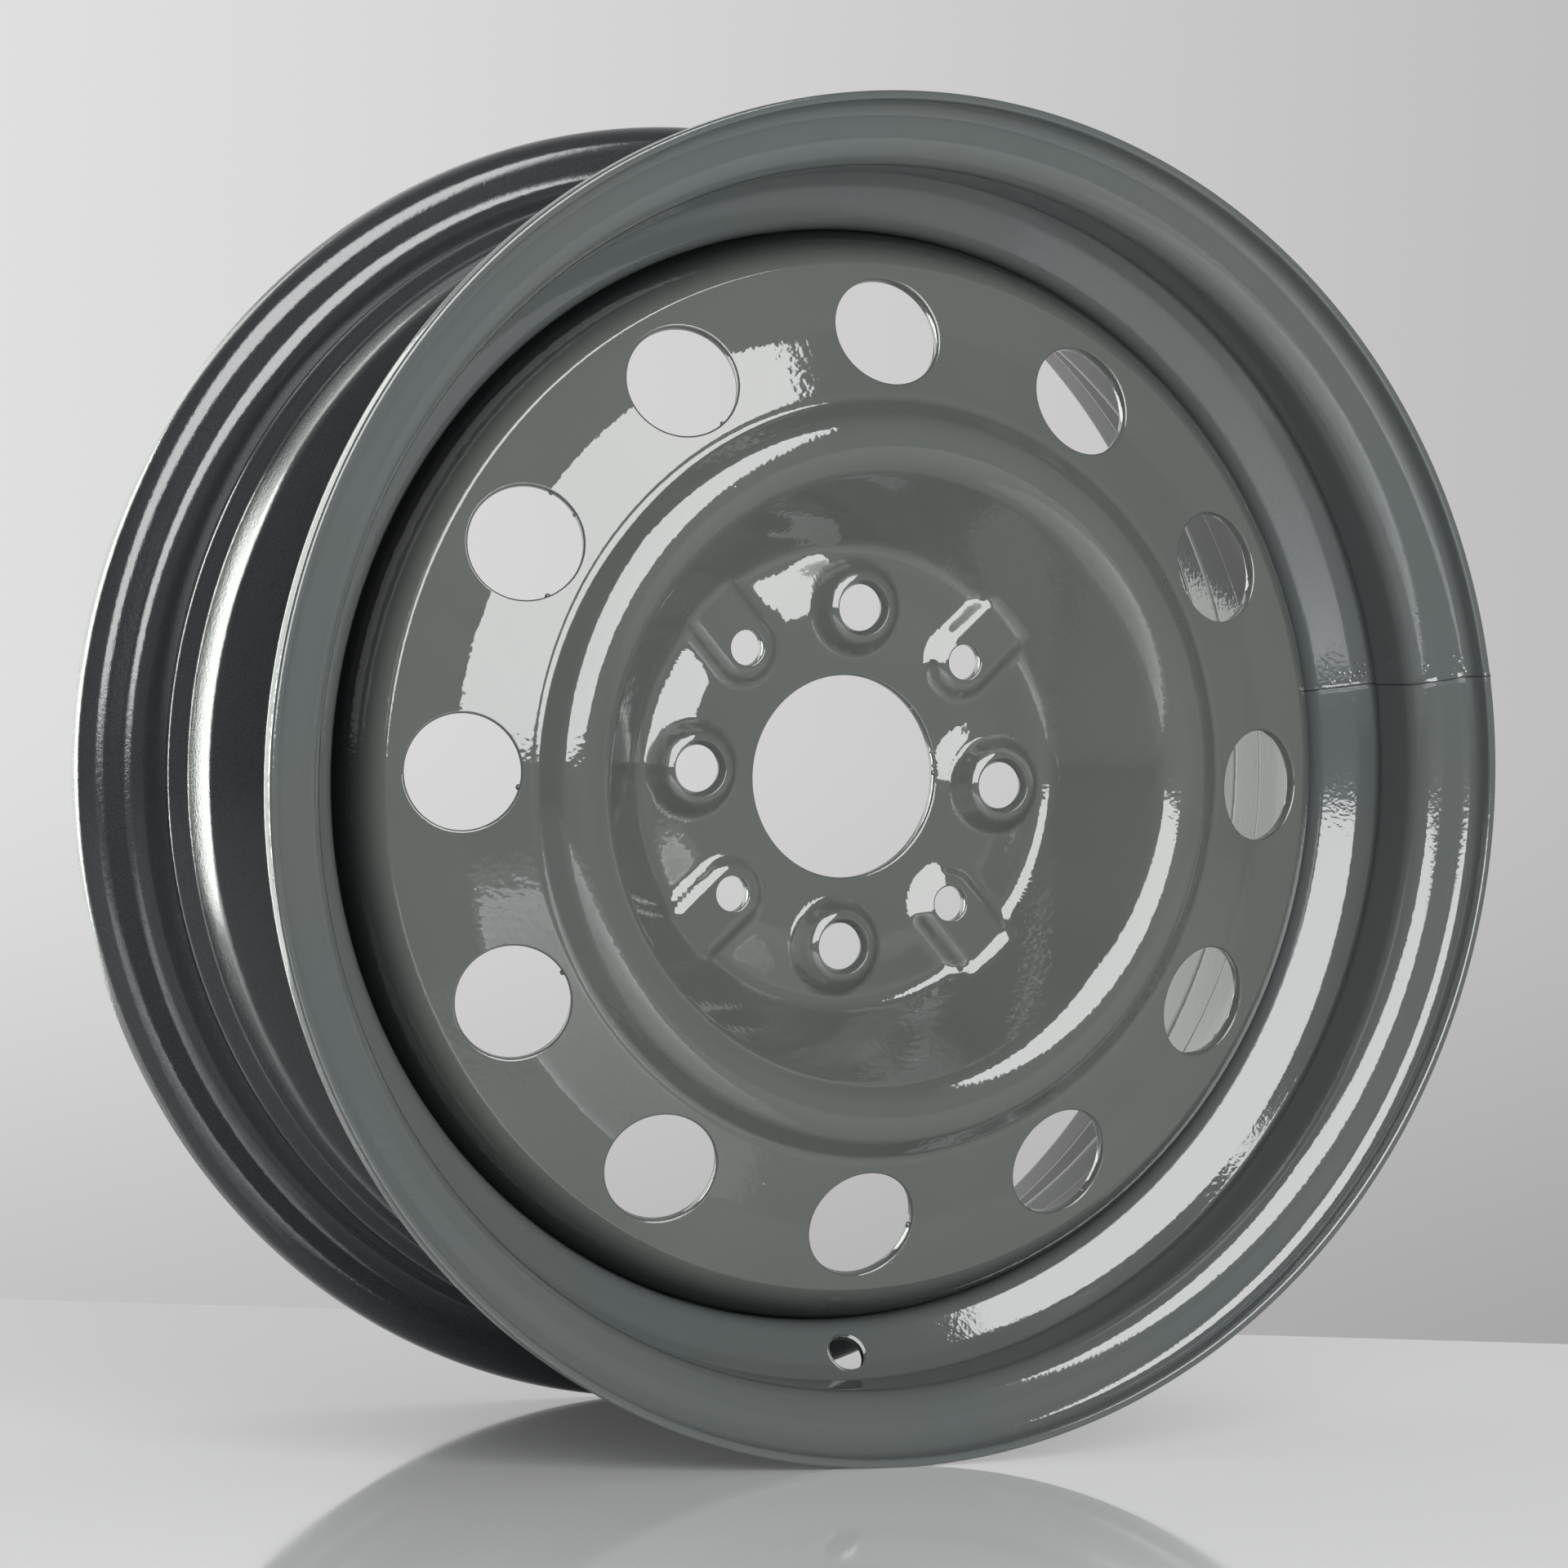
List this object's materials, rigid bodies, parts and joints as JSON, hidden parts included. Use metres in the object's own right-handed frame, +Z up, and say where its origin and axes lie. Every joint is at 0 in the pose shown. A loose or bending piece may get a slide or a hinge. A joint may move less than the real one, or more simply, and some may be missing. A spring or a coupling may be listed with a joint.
{
  "type": "steel wheel rim",
  "caption": "Pressed-steel road wheel: a drop-centre rim with a welded disc, round vents, raised bolt collars and a centre bore, which carries a tyre on a vehicle's hub.",
  "frame": {"origin": "centre of the hub bore on the wheel's mounting face", "axes": "+Y along the wheel's axis towards the vehicle, so the outboard face looks to -Y; +Z up; the valve hole is at the bottom"},
  "size_m": [0.3894, 0.1622, 0.3892],
  "materials": {
    "rim_enamel": "gloss enamel",
    "disc_enamel": "gloss enamel",
    "weld_enamel": "satin enamel"
  },
  "bodies": {
    "root": {"rim": "rim_enamel", "disc": "disc_enamel", "weld_beads": "weld_enamel"}
  },
  "joints": []
}
